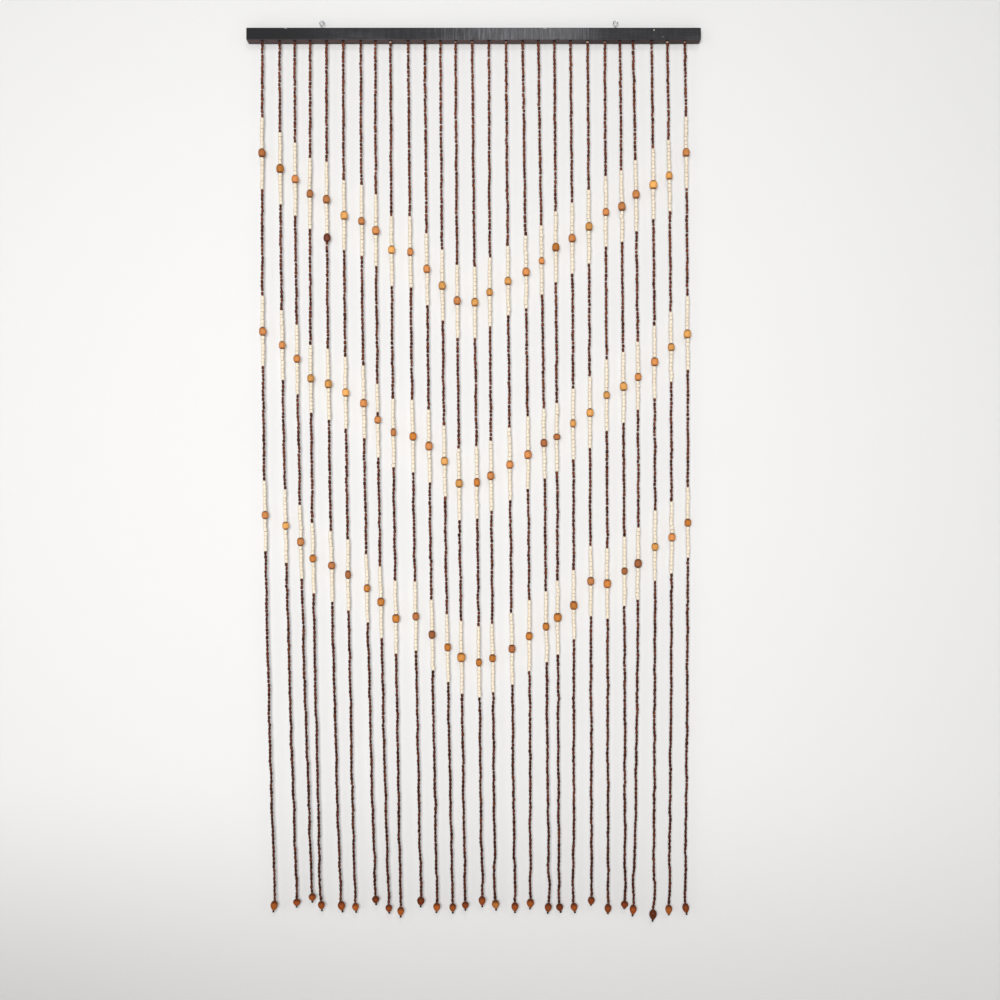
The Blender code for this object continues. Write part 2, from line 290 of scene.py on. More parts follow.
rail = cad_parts["rail"]
rail.data.materials.clear()
rail.data.materials.append(black_paint())


# Screw eyes
# Each is one zinc-plated wire: a pointed, threaded shank that is screwed into the rail, and a ring
# bent back to the shank, with a small gap left where the wire ends. The curtain hangs on the rings.

EYE_WIRE = 1.7 * MM
EYE_SIDES = 12
EYE_END_ANGLE = -80
EYE_BEND_ANGLE = 235
EYE_BEND_DROP = 3.2 * MM
EYE_PLAIN_NECK = 1.2 * MM
EYE_POINT = 3 * MM
EYE_CORE_SHARE = 0.82
EYE_THREAD_SHARE = 0.34
EYE_THREAD_PITCH = 1.1 * MM
EYE_THREAD_SETS_IN = 1 * MM
EYE_TIP_SHARE = 0.05
EYE_RING_STEPS = 40
EYE_BEND_STEPS = 9
EYE_SHANK_STEPS = 119
ZINC = (0.42, 0.43, 0.45)
ZINC_DULL = (0.22, 0.23, 0.24)
ZINC_ROUGHNESS = 0.28
CLOUDS_ROUGHER = 0.25
ZINC_CLOUD_SCALE = (600, 600, 600)
ZINC_CLOUDS_SET_IN = (0.35, 0.7)
DRAWING_LINE_SCALE = (3000, 3000, 500)


def unit(vectors):
    """The vectors at length 1."""
    return vectors / np.linalg.norm(vectors, axis=-1, keepdims=True)


def tube_points(path, radii, sides, guide):
    """A tube round a path: each point's ring lies square to the path there, and its first axis is square
    to the path and to the guide direction. Radii are one for each ring, or one for each point."""
    along = unit(np.gradient(path, axis=0))
    first = unit(np.cross(along, guide))
    second = np.cross(first, along)
    angles = 2 * math.pi * np.arange(sides) / sides
    reach = radii if np.ndim(radii) == 2 else np.reshape(radii, (-1, 1))
    out = np.cos(angles)[:, None] * first[:, None, :] + np.sin(angles)[:, None] * second[:, None, :]
    return (path[:, None, :] + reach[..., None] * out).reshape(-1, 3)


def tube_faces(rings, sides, closed=False):
    """Quads between neighbouring rings of points, outside out when the rings run along the path. A
    closed tube joins its last ring to its first, and an open one has a cap on each end."""
    ring = np.arange(sides)
    after = (ring + 1) % sides
    start = np.arange(rings if closed else rings - 1)[:, None] * sides
    following = (start + sides) % (rings * sides)
    quads = np.stack([start + ring, following + ring, following + after, start + after], axis=-1)
    caps = np.stack([ring, (rings - 1) * sides + ring[::-1]])
    return quads.reshape(-1, 4), caps[:0] if closed else caps


def repeat_faces(faces, points_each, copies):
    """The same faces for each of several like shapes, whose points follow each other."""
    shift = points_each * np.arange(copies)
    return (faces[None] + shift[:, None, None]).reshape(-1, faces.shape[1])


def put_in_mesh(name, points, quads, caps, material, **attributes):
    """A new piece with smooth quads and flat caps, and one number for each point in each attribute."""
    mesh = bpy.data.meshes.new(name)
    corners = np.concatenate([quads.ravel(), caps.ravel()]).astype(np.int32)
    sizes = np.concatenate([np.full(len(quads), 4), np.full(len(caps), caps.shape[1])])
    starts = np.concatenate([[0], np.cumsum(sizes)[:-1]]).astype(np.int32)
    mesh.vertices.add(len(points))
    mesh.vertices.foreach_set("co", np.ascontiguousarray(points, np.float32).ravel())
    mesh.loops.add(len(corners))
    mesh.loops.foreach_set("vertex_index", corners)
    mesh.polygons.add(len(sizes))
    mesh.polygons.foreach_set("loop_start", starts)
    mesh.polygons.foreach_set("use_smooth", np.arange(len(sizes)) < len(quads))
    for label, values in attributes.items():
        layer = mesh.attributes.new(label, "FLOAT", "POINT")
        layer.data.foreach_set("value", np.ascontiguousarray(values, np.float32))
    mesh.update(calc_edges=True)
    mesh.materials.append(material)
    piece = bpy.data.objects.new(name, mesh)
    bpy.context.scene.collection.objects.link(piece)
    return piece


def dress(piece, nodes):
    """The piece rides on the body, and the CAD nodes that it stands for are hidden."""
    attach(piece, "root")
    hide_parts(*nodes)


def eye_wire(low, high):
    """The wire's path from its end round the ring, through a curve with one control point, and straight
    down the shank, with the wire's radius at each ring's points. Below its neck the shank is a core with
    a thread, a ridge that turns once in a pitch, and it tapers to its point."""
    middle_x = (low.x + high.x) / 2
    ring_radius = (high.x - low.x - EYE_WIRE) / 2
    ring_z = high.z - EYE_WIRE / 2 - ring_radius
    angles = np.radians(np.linspace(EYE_END_ANGLE, EYE_BEND_ANGLE, EYE_RING_STEPS))
    ring = ring_radius * np.stack([np.cos(angles), np.sin(angles)], axis=1)
    bend_start = ring[-1]
    heading = np.array([-math.sin(angles[-1]), math.cos(angles[-1])])
    control = bend_start - heading * bend_start[0] / heading[0]
    bend_end = control - (0, EYE_BEND_DROP)
    share = np.linspace(0, 1, EYE_BEND_STEPS + 1)[1:, None]
    bend = (1 - share) ** 2 * bend_start + 2 * share * (1 - share) * control + share ** 2 * bend_end
    depths = np.linspace(bend_end[1], low.z - ring_z, EYE_SHANK_STEPS + 1)[1:]
    shank = np.stack([0 * depths, depths], axis=1)
    flat = np.concatenate([ring, bend, shank])
    path = np.stack([middle_x + flat[:, 0], 0 * flat[:, 0], ring_z + flat[:, 1]], axis=1)

    turn = np.arange(EYE_SIDES) / EYE_SIDES
    ridge = np.abs((depths[:, None] / EYE_THREAD_PITCH + turn) % 1 - 0.5) * 2
    threaded = EYE_CORE_SHARE + EYE_THREAD_SHARE * np.clip(2 * ridge - 1, 0, 1)
    starts = np.clip((depths[0] - EYE_PLAIN_NECK - depths) / EYE_THREAD_SETS_IN, 0, 1)[:, None]
    shares = 1 + (threaded - 1) * starts
    taper = np.clip((depths - depths[-1]) / EYE_POINT, EYE_TIP_SHARE, 1)[:, None]
    plain = np.ones((len(ring) + len(bend), EYE_SIDES))
    return path, EYE_WIRE / 2 * np.concatenate([plain, shares * taper])


def zinc_plate():
    """Zinc plating: bright grey metal, dull in cloudy patches, with fine drawing lines."""
    material, tree, shader = new_material("zinc_wire")
    place = object_place(tree)
    dull = fade(tree, stretched_noise(tree, place, ZINC_CLOUD_SCALE, 4), *ZINC_CLOUDS_SET_IN)
    tree.links.new(mix_colours(tree, dull, opaque(ZINC), opaque(ZINC_DULL)), shader.inputs["Base Color"])
    rough = calculate(tree, "MULTIPLY_ADD", dull, CLOUDS_ROUGHER, ZINC_ROUGHNESS)
    tree.links.new(rough, shader.inputs["Roughness"])
    shader.inputs["Metallic"].default_value = 1.0
    lines = stretched_noise(tree, place, DRAWING_LINE_SCALE, 2)
    give_relief(tree, shader, 0.2, 0.05 * MM, lines)
    return material


zinc = zinc_plate()
for side in ("left", "right"):
    eye_node = f"screw_eye_{side}"
    eye_path, eye_radii = eye_wire(*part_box(eye_node))
    eye_points = tube_points(eye_path, eye_radii, EYE_SIDES, (0.0, 1.0, 0.0))
    eye = put_in_mesh(f"bent_eye_{side}", eye_points, *tube_faces(len(eye_path), EYE_SIDES), zinc)
    dress(eye, [eye_node])


# The strands' routes
# Each strand hangs from its own hole in the rail on one cord. Its line, its large beads and its drop
# bead lie where its CAD solid has them; between those, a real strand wanders a little, more so lower
# down, and often has one small kink just above its drop bead.

STRAND_NAMES = sorted(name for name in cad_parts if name.startswith("strand_"))
SAME_LEVEL = 0.1 * MM
SMALLEST_LARGE_BEAD = 7 * MM
LARGE_BEAD_END_SHARE = 0.92
DROP_END_SHARES = (0.05, 0.98)
WANDER_AT_RAIL = 0.5 * MM
WANDER_AT_DROP = 1.3 * MM
WANDER_WAVES = (0.31, 0.17, 0.095, 0.052)
WANDER_FADE_SHARE = 0.04
DEPTH_WANDER_SHARE = 0.5
KINK = 1.3 * MM
KINK_LENGTH = (0.045, 0.09)

Turned = namedtuple("Turned", "centre axis height diameter")
Strand = namedtuple("Strand", "name top drop_top tip levels middles large drop phases kink")


def strand_rings(name):
    """The level rings of a CAD strand from the top down: their heights, middles and radii. Points at one
    height make a ring. Its middle is halfway between its outermost points, its radius half its width."""
    points = np.array([vertex.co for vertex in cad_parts[name].data.vertices])
    points = points[np.argsort(-points[:, 2])]
    starts = np.flatnonzero(np.diff(points[:, 2], prepend=np.inf) < -SAME_LEVEL)
    starts = np.union1d([0], starts)
    high = np.maximum.reduceat(points, starts)
    low = np.minimum.reduceat(points, starts)
    middles = (high + low) / 2
    return middles[:, 2], middles[:, :2], (high - low)[:, 0] / 2


def read_strand(name):
    """Reads a strand back from its rings: four for its root and knot, two at each end of a run of small
    beads, four for each large bead, four for its drop bead, and two for the knot at its tip."""
    number = int(name[-2:])
    heights, middles, radii = strand_rings(name)
    body, drop, tip = slice(4, -6), slice(-6, -2), -1
    wide = np.flatnonzero(radii[:-6] > SMALLEST_LARGE_BEAD / 2).reshape(-1, 4)
    large = []
    for rings in wide:
        upper = np.append(middles[rings[0]], heights[rings[0]])
        lower = np.append(middles[rings[-1]], heights[rings[-1]])
        height = (upper[2] - lower[2]) / LARGE_BEAD_END_SHARE
        large.append(Turned((upper + lower) / 2, unit(upper - lower), height, 2 * radii[rings].max()))
    upper = np.append(middles[drop][0], heights[drop][0])
    lower = np.append(middles[drop][-1], heights[drop][-1])
    axis = unit(upper - lower)
    length = (upper[2] - lower[2]) / (DROP_END_SHARES[1] - DROP_END_SHARES[0])
    drop_top = upper[2] + DROP_END_SHARES[0] * length
    centre = upper + axis / axis[2] * (drop_top - length / 2 - upper[2])
    chance = np.random.default_rng(number)
    return Strand(
        name=name,
        top=heights[4],
        drop_top=drop_top,
        tip=np.append(middles[tip], heights[tip]),
        levels=heights[body][::-1],
        middles=middles[body][::-1],
        large=large,
        drop=Turned(centre, axis, length / axis[2], 2 * radii[drop].max()),
        phases=chance.uniform(0, 2 * math.pi, (2, len(WANDER_WAVES))),
        kink=(chance.normal(0, KINK, 2), chance.uniform(*KINK_LENGTH)),
    )


def route(strand, z):
    """The strand's line at heights z: the CAD's line between its rings, a mean of sine waves that grows
    from the rail to the drop bead and fades out at both, and a kink of half a sine wave above the drop.
    It moves less from front to back than from side to side."""
    x = np.interp(z, strand.levels, strand.middles[:, 0])
    y = np.interp(z, strand.levels, strand.middles[:, 1])
    share = np.clip((strand.top - z) / (strand.top - strand.drop_top), 0, 1)
    swell = WANDER_AT_RAIL + (WANDER_AT_DROP - WANDER_AT_RAIL) * share
    swell = swell * np.clip(np.minimum(share, 1 - share) / WANDER_FADE_SHARE, 0, 1)
    angles = 2 * math.pi * np.asarray(z)[..., None] / WANDER_WAVES
    wave_x, wave_y = (np.sin(angles + phases).mean(axis=-1) for phases in strand.phases)
    (kink_x, kink_y), kink_length = strand.kink
    kink = np.sin(math.pi * np.clip((z - strand.drop_top) / kink_length, 0, 1))
    x = x + swell * wave_x + kink_x * kink
    y = y + DEPTH_WANDER_SHARE * (swell * wave_y + kink_y * kink)
    return np.stack([x, y, z], axis=-1)


strands = [read_strand(name) for name in STRAND_NAMES]


# Small beads
# Rice-shaped beads, turned from thin sticks and drilled lengthwise, so they differ in size and sit a
# little askew on the cord. Most are stained dark brown. Next to each large bead of the three rows lie
# eight pale ones above and eight below; the extra large bead of one strand has brown ones below it.

BEAD_SIDES = 8
BROWN_PROFILE = np.array([(0.50, 1), (0.84, 0.80), (1, 0.34), (1, -0.34), (0.84, -0.80), (0.50, -1)])
CREAM_PROFILE = np.array([(0.72, 1), (0.95, 0.86), (1, 0.45), (1, -0.45), (0.95, -0.86), (0.72, -1)])
BEAD_PITCH = 7.75 * MM
CREAM_EACH_SIDE = 8
BROWN_DIAMETER = 5.5 * MM
CREAM_DIAMETER = 7.1 * MM
DIAMETER_SPREAD = 0.06
MOST_DIAMETER_SPREAD = 0.12
LENGTH_SPREAD = 0.09
GAP_AT_RAIL = 0.65 * MM
GAP_AT_DROP = 0.05 * MM
MOST_GAP_SHARE = 0.3
CREAM_GAP_SHARE = 0.35
OFF_LINE = 0.3 * MM
ASKEW = 0.085
SLOPE_STEP = 2 * MM
STRAND_WITH_BROWN_IN_CREAM = "strand_08"
ROW_OF_BROWN_IN_CREAM = 2
BROWN_PIECES = {"left": slice(0, 9), "middle": slice(9, 18), "right": slice(18, 27)}

BROWN_STAIN = ((0.175, 0.049, 0.024), (0.028, 0.0055, 0.0022), (0.066, 0.018, 0.009))
CREAM_STAIN = ((0.695, 0.610, 0.490), (0.640, 0.550, 0.420), (0.650, 0.560, 0.440))
TONE_SPREADS = (0.75, 0.5)
# The brown beads' lowest tone rises from the rail to the drop, so they darken lower down: painted shade
BROWN_TONES_FROM_WITH_PAINTED_SHADE_LOW = (-0.05, 0.55)
CREAM_TONES_FROM = (0.1, 0.1)

# The grain runs along the strand, and blotches are about as long as wide. Each darkens the wood by its
# share, between the two values where it sets in
BEAD_GRAIN_SCALE = (900, 900, 90)
GRAIN_DARKENS = (0.3, 0.7)
BLOTCH_SCALE = (180, 180, 120)
BLOTCHES_DARKEN = (0.35, 0.65)
BLOTCH_SHARE = 0.3
DARKNESS_SHARE = 0.62
DARKNESS_SETS_IN = (0.05, 1.0)
ENDS_SHARE = 0.85
WOOD_ROUGHNESS = 0.38
GRAIN_ROUGHER = 0.2

Threaded = namedtuple("Threaded", "centres axes halves radii spins tones")


def turned_points(profile, sides, beads):
    """Beads of one profile of radius and height shares, from the top down: each profile point is spun
    round the bead's axis, and stretched by its radius and half its length. Returns all points, and each
    point's height share."""
    down = -beads.axes
    first = unit(np.cross(down, (0.0, 1.0, 0.0)))
    second = np.cross(first, down)
    angles = 2 * math.pi * np.arange(sides) / sides + beads.spins[:, None]
    out = np.cos(angles)[..., None] * first[:, None] + np.sin(angles)[..., None] * second[:, None]
    reach = beads.radii[:, None] * profile[:, 0]
    rise = (beads.halves[:, None] * profile[:, 1])[..., None] * beads.axes[:, None]
    points = beads.centres[:, None, None] + rise[:, :, None] + reach[:, :, None, None] * out[:, None]
    heights = np.broadcast_to(profile[:, 1][None, :, None], points.shape[:3])
    return points.reshape(-1, 3), heights.ravel()


def turned_piece(name, profile, sides, beads, closed, material, **per_bead):
    """All these beads as one piece. Each point keeps its height share, and its bead's tone and other
    numbers, for the material."""
    points, heights = turned_points(profile, sides, beads)
    quads, caps = tube_faces(len(profile), sides, closed)
    each = len(profile) * sides
    copies = len(beads.centres)
    numbers = {label: np.repeat(values, each) for label, values in per_bead.items()}
    return put_in_mesh(
        name, points, repeat_faces(quads, each, copies), repeat_faces(caps, each, copies), material,
        height=heights, tone=np.repeat(beads.tones, each), **numbers,
    )


def large_bead_rows(strand):
    """The pattern's row of each large bead, from the top down; the extra bead of one strand has none."""
    return [1, None, 2, 3] if len(strand.large) == 4 else [1, 2, 3]


def fill_run(top, bottom, cream_above, cream_below, chance):
    """Small beads that fill a stretch of cord: their middles' heights, their half-lengths, and which are
    cream. Each gets its share of the stretch, by its own length, less the open joint under it, which is
    wider higher up and narrower between cream ones."""
    count = max(1, round((top - bottom) / BEAD_PITCH))
    place = np.arange(count)
    cream = (place < CREAM_EACH_SIDE * cream_above) | (place >= count - CREAM_EACH_SIDE * cream_below)
    lengths = 1 + chance.normal(0, LENGTH_SPREAD, count)
    lengths *= (top - bottom) / lengths.sum()
    ends = top - np.cumsum(lengths)
    share = np.clip(ends / strands[0].tip[2], 0, 1)
    gaps = chance.exponential(GAP_AT_RAIL + (GAP_AT_DROP - GAP_AT_RAIL) * share)
    gaps = np.minimum(gaps, lengths * MOST_GAP_SHARE) * np.where(cream, CREAM_GAP_SHARE, 1)
    return ends + (lengths + gaps) / 2, (lengths - gaps) / 2, cream


def thread(strand, z, halves, diameter, tones_from, chance):
    """Small beads at these heights on the strand: on its line and along it, but for a little chance.
    Their tones are spread by chance above a lowest tone. It and the spread go from their value at the
    rail to the one at the drop."""
    count = len(z)
    centres = route(strand, z)
    ahead = route(strand, z + SLOPE_STEP) - route(strand, z - SLOPE_STEP)
    centres[:, :2] += chance.normal(0, OFF_LINE, (count, 2))
    ahead[:, :2] += ahead[:, 2:] * chance.normal(0, ASKEW, (count, 2))
    spread = chance.normal(0, DIAMETER_SPREAD, count)
    spread = np.clip(spread, -MOST_DIAMETER_SPREAD, MOST_DIAMETER_SPREAD)
    spins = chance.uniform(0, 2 * math.pi, count)
    share = (strand.top - z) / (strand.top - strand.drop_top)
    lowest = np.interp(share, (0, 1), tones_from)
    spread_above = np.interp(share, (0, 1), TONE_SPREADS)
    tones = lowest + spread_above * chance.uniform(0, 1, count)
    return Threaded(centres, unit(ahead), halves, diameter / 2 * (1 + spread), spins, tones)


def small_beads(strand):
    """The strand's brown and cream beads. Walks down from large bead to large bead and fills each run."""
    chance = np.random.default_rng(1000 + int(strand.name[-2:]))
    stops = strand.large
    tops = [strand.top] + [bead.centre[2] - bead.height / 2 for bead in stops]
    bottoms = [bead.centre[2] + bead.height / 2 for bead in stops] + [strand.drop_top]
    rows = large_bead_rows(strand)
    found = []
    for top, bottom, above, below in zip(tops, bottoms, [None, *rows], [*rows, None]):
        z, halves, cream = fill_run(top, bottom, above is not None, below is not None, chance)
        if strand.name == STRAND_WITH_BROWN_IN_CREAM and below == ROW_OF_BROWN_IN_CREAM:
            cream[-1] = False
        found.append((z, halves, cream))
    z, halves, cream = (np.concatenate(parts) for parts in zip(*found))
    brown = thread(strand, z[~cream], halves[~cream], BROWN_DIAMETER, BROWN_TONES_FROM_WITH_PAINTED_SHADE_LOW, chance)
    pale = thread(strand, z[cream], halves[cream], CREAM_DIAMETER, CREAM_TONES_FROM, chance)
    return brown, pale


def together(groups):
    """Several groups of beads as one."""
    return Threaded(*(np.concatenate(parts) for parts in zip(*groups)))


def stained_wood_group():
    """A node group for turned and stained wood. Its grain is noise stretched along the bead. A bead's
    tone moves it between the light and the dark stain, and towards its ends, counted from the height
    where it is lightest, it takes the ends' colour, which on the drum and drop beads is partly painted
    shade."""
    group = bpy.data.node_groups.new("stained_wood", "ShaderNodeTree")
    for label, kind in (
        ("Place", "NodeSocketVector"), ("Tone", "NodeSocketFloat"), ("Height", "NodeSocketFloat"),
        ("Light", "NodeSocketColor"), ("Dark", "NodeSocketColor"), ("Ends", "NodeSocketColor"),
        ("Lightest Height", "NodeSocketFloat"), ("Ends From", "NodeSocketFloat"),
        ("Grain", "NodeSocketFloat"),
    ):
        group.interface.new_socket(label, in_out="INPUT", socket_type=kind)
    for label, kind in (
        ("Color", "NodeSocketColor"), ("Dullness", "NodeSocketFloat"), ("Relief", "NodeSocketFloat"),
    ):
        group.interface.new_socket(label, in_out="OUTPUT", socket_type=kind)
    given = group.nodes.new("NodeGroupInput").outputs
    put_out = group.nodes.new("NodeGroupOutput").inputs

    inputs = {0: given["Place"], 1: given["Tone"]}
    own_place = add_node(group, "ShaderNodeVectorMath", inputs, operation="ADD").outputs[0]
    grain = stretched_noise(group, own_place, BEAD_GRAIN_SCALE, 4)
    blotches = stretched_noise(group, own_place, BLOTCH_SCALE, 2)
    dark_grain = fade(group, grain, *GRAIN_DARKENS)
    dark_blotches = fade(group, blotches, *BLOTCHES_DARKEN)
    darkness = calculate(group, "MULTIPLY_ADD", dark_grain, given["Grain"], given["Tone"])
    darkness = calculate(group, "MULTIPLY_ADD", dark_blotches, BLOTCH_SHARE, darkness)
    darkness = calculate(group, "MULTIPLY", darkness, DARKNESS_SHARE)
    darkness = fade(group, darkness, *DARKNESS_SETS_IN)
    colour = mix_colours(group, darkness, given["Light"], given["Dark"])
    far = calculate(group, "SUBTRACT", given["Height"], given["Lightest Height"])
    far = calculate(group, "ABSOLUTE", far)
    ends = calculate(group, "MULTIPLY", fade(group, far, given["Ends From"], 1.0), ENDS_SHARE)
    group.links.new(mix_colours(group, ends, colour, given["Ends"]), put_out["Color"])
    rough = calculate(group, "MULTIPLY_ADD", grain, GRAIN_ROUGHER, WOOD_ROUGHNESS)
    group.links.new(rough, put_out["Dullness"])
    group.links.new(grain, put_out["Relief"])
    return group


def attribute(tree, label):
    """A number that each point of the piece carries."""
    return add_node(tree, "ShaderNodeAttribute", attribute_name=label).outputs["Fac"]


def stained_wood(name, light, dark, ends, ends_from, grain, gloss, lightest_height=0):
    """Wood with the stained wood group's colours, gloss and relief. Light and dark may be sockets made by
    a function of the tree."""
    material, tree, shader = new_material(name)
    place = object_place(tree)
    inputs = {
        "Place": place, "Tone": attribute(tree, "tone"), "Height": attribute(tree, "height"),
        "Light": light(tree) if callable(light) else opaque(light),
        "Dark": dark(tree) if callable(dark) else opaque(dark),
        "Ends": opaque(ends), "Ends From": ends_from, "Lightest Height": lightest_height, "Grain": grain,
    }
    wood = add_node(tree, "ShaderNodeGroup", inputs, node_tree=stained_wood_nodes)
    tree.links.new(wood.outputs["Color"], shader.inputs["Base Color"])
    tree.links.new(wood.outputs["Dullness"], shader.inputs["Roughness"])
    shader.inputs["Specular IOR Level"].default_value = gloss
    give_relief(tree, shader, 0.3, 0.1 * MM, wood.outputs["Relief"])
    return material


stained_wood_nodes = stained_wood_group()
brown_wood = stained_wood("brown_beads", *BROWN_STAIN, ends_from=0.8, grain=0.5, gloss=0.05)
cream_wood = stained_wood("cream_beads", *CREAM_STAIN, ends_from=0.85, grain=0.35, gloss=0.15)
threaded_small_beads = [small_beads(strand) for strand in strands]
for part, wanted in BROWN_PIECES.items():
    brown_group = together([brown for brown, pale in threaded_small_beads[wanted]])
    brown_piece = turned_piece(
        f"brown_beads_{part}", BROWN_PROFILE, BEAD_SIDES, brown_group, False, brown_wood,
    )
    dress(brown_piece, STRAND_NAMES[wanted])
cream_group = together([pale for brown, pale in threaded_small_beads])
cream_piece = turned_piece("cream_beads", CREAM_PROFILE, BEAD_SIDES, cream_group, False, cream_wood)
dress(cream_piece, STRAND_NAMES)


# Large beads
# Drum-shaped beads, turned with rounded corners, drilled, stained in four shades and varnished. They are
# darkest round the holes, partly from stain and partly from painted shade on their rounded ends. They
# mark the three rows of the pattern; one strand has a fourth, darker one.

DRUM_SIDES = 20
DRUM_STEPS = 15
DRUM_SQUARENESS = 2.7
DRUM_BORE = 0.24
DRUM_ASKEW = 0.035

# A letter for each stain, honey, amber, copper, mahogany and dark, and then each row's stains, with one
# letter for each strand from the left
STAINS = "hacmd"
ROW_STAINS = {
    1: "maccchcchcchchhhccachccchhc",
    2: "ccchhhcccachhacccmmhhhhcchh",
    3: "chcammaaammaaaamaaaacammhca",
}
STRAY_STAIN = "d"
STAIN_SPREAD = 0.04
HONEY = (0.700, 0.335, 0.090)
AMBER = (0.480, 0.162, 0.022)
COPPER = (0.565, 0.220, 0.066)
MAHOGANY = (0.355, 0.120, 0.036)
DARK = (0.130, 0.034, 0.018)
DARK_SHARE = 0.6
END_STAIN_AND_PAINTED_SHADE = (0.075, 0.018, 0.006)


def drum_profile():
    """Half a rounded square: radius share cos(a) and height share sin(a), both to the power 2 over the
    squareness, from just past the hole's edge above to the same below."""
    last = math.acos(DRUM_BORE ** (DRUM_SQUARENESS / 2))
    angles = np.linspace(last, -last, DRUM_STEPS)
    power = 2 / DRUM_SQUARENESS
    heights = np.sign(angles) * np.abs(np.sin(angles)) ** power
    return np.stack([np.cos(angles) ** power, heights], axis=1)


def stain_ramp(tree, colours):
    """The colour of the point's own stain, 0 to 1, from a ramp over the shades in their order."""
    node = add_node(tree, "ShaderNodeValToRGB", {0: attribute(tree, "stain")})
    ramp = node.color_ramp
    for step, colour in enumerate(colours):
        place = step / (len(colours) - 1)
        stop = ramp.elements[step] if step < 2 else ramp.elements.new(place)
        stop.position = place
        stop.color = opaque(colour)
    return node.outputs["Color"]


def turned_group(centres, turned, chance):
    """Large or drop beads at their centres, each with a spin and a tone of its own."""
    axes = np.array([bead.axis for bead in turned])
    halves = np.array([bead.height / 2 for bead in turned])
    radii = np.array([bead.diameter / 2 for bead in turned])
    spins = chance.uniform(0, 2 * math.pi, len(turned))
    return Threaded(np.array(centres), axes, halves, radii, spins, chance.uniform(0, 1, len(turned)))


def stain_shares(letters, chance):
    """Each letter's place along the stains, 0 to 1, moved a little by chance."""
    places = np.array([STAINS.index(letter) for letter in letters]) / (len(STAINS) - 1)
    return np.clip(places + chance.normal(0, STAIN_SPREAD, len(letters)), 0, 1)


drum_chance = np.random.default_rng(5)
drums = [
    (strand, row, bead) for strand in strands for row, bead in zip(large_bead_rows(strand), strand.large)
]
drum_letters = [
    ROW_STAINS[row][int(strand.name[-2:]) - 1] if row else STRAY_STAIN for strand, row, bead in drums
]
drum_group = turned_group(
    [route(strand, bead.centre[2]) for strand, row, bead in drums], [bead for strand, row, bead in drums],
    drum_chance,
)
drum_group.axes[:, :2] += drum_chance.normal(0, DRUM_ASKEW, (len(drums), 2))
stain_colours = (HONEY, AMBER, COPPER, MAHOGANY, DARK)
dark_colours = tuple(tuple(part * DARK_SHARE for part in colour) for colour in stain_colours)
# The drums' darker ends are partly stain and partly painted shade
drum_wood = stained_wood(
    "drum_beads", lambda tree: stain_ramp(tree, stain_colours),
    lambda tree: stain_ramp(tree, dark_colours), END_STAIN_AND_PAINTED_SHADE, ends_from=0.42, grain=0.35, gloss=0.15,
)
drum_piece = turned_piece(
    "drum_beads", drum_profile(), DRUM_SIDES, drum_group, True, drum_wood,
    stain=stain_shares(drum_letters, drum_chance),
)
dress(drum_piece, STRAND_NAMES)


# Drop beads
# One at each strand's tip: turned like an egg, widest just above its middle, drilled, stained and
# varnished, and darker on its shoulder than below it, partly from more stain and partly from painted
# shade.

DROP_SIDES = 16
DROP_STEPS = 16
DROP_SPAN = (0.012, 0.975)
DROP_SKEW = 0.85
DROP_FULLNESS = 0.75
DROP_BORE = 0.2
DROP_STAINS = "accccamcamaamcacacmcmcmcdac"
DROP_AMBER = (0.360, 0.087, 0.009)
DROP_COPPER = (0.245, 0.051, 0.007)
DROP_MAHOGANY = (0.180, 0.032, 0.004)
DROP_DARK = (0.090, 0.017, 0.004)
DROP_LIGHT = (HONEY, DROP_AMBER, DROP_COPPER, DROP_MAHOGANY, DROP_DARK)


def drop_profile():
    """Radius share: the sine of pi times s to the power of the skew, all to the power of the fullness,
    for s from near 0 at the top to near 1, and nowhere less than the bore."""
    shares = np.linspace(*DROP_SPAN, DROP_STEPS)
    radii = np.sin(math.pi * shares ** DROP_SKEW) ** DROP_FULLNESS
    return np.stack([np.maximum(radii, DROP_BORE), 1 - 2 * shares], axis=1)


drop_chance = np.random.default_rng(6)
drop_beads = [strand.drop for strand in strands]
drop_group = turned_group([bead.centre for bead in drop_beads], drop_beads, drop_chance)
drop_shade = tuple(tuple(part * DARK_SHARE for part in colour) for colour in DROP_LIGHT)
# Lightest a little below its middle, so the shoulder takes more of the ends' colour: partly stain, partly
# painted shade
drop_wood = stained_wood(
    "drop_beads", lambda tree: stain_ramp(tree, DROP_LIGHT), lambda tree: stain_ramp(tree, drop_shade),
    END_STAIN_AND_PAINTED_SHADE, ends_from=0.35, grain=0.35, gloss=0.1, lightest_height=-0.2,
)
drop_piece = turned_piece(
    "drop_beads", drop_profile(), DROP_SIDES, drop_group, True, drop_wood,
    stain=stain_shares(DROP_STAINS, drop_chance),
)
dress(drop_piece, STRAND_NAMES)


# Cords and knots
# Each strand's cord is a pale twisted nylon thread. It shows in the open joints between the beads
# and in its knot under the rail, where most are stained brown; its lower end is knotted under the
# drop bead and melted black.

CORD_DIAMETER = 1.5 * MM
CORD_SIDES = 6
CORD_STEP = 7 * MM
CORD_IN_RAIL = 7 * MM
CORD_STAINED_BELOW_RAIL = 9 * MM
KNOT_THREAD = 1.6 * MM
KNOT_SIDES = 7
KNOT_STEPS = 36
KNOT_WAIST_SHARE = 0.38
PLY_SCALE = (1500, 1500, 900)
PLIES_SET_IN = (0.35, 0.7)
CORD_ROUGHNESS = 0.7
MELTED_SMOOTHER = 0.15
CORD_GLOSS = 0.25
RAIL_KNOT_RADIUS = 1.9 * MM
RAIL_KNOT_BELOW_RAIL = 1.2 * MM
RAIL_KNOT_HALF_HEIGHT = 1.1 * MM
TIP_KNOT_RADIUS = 1.6 * MM
TIP_KNOT_UP = 0.7 * MM
LEAST_TIP_KNOT_HALF_HEIGHT = 0.4 * MM

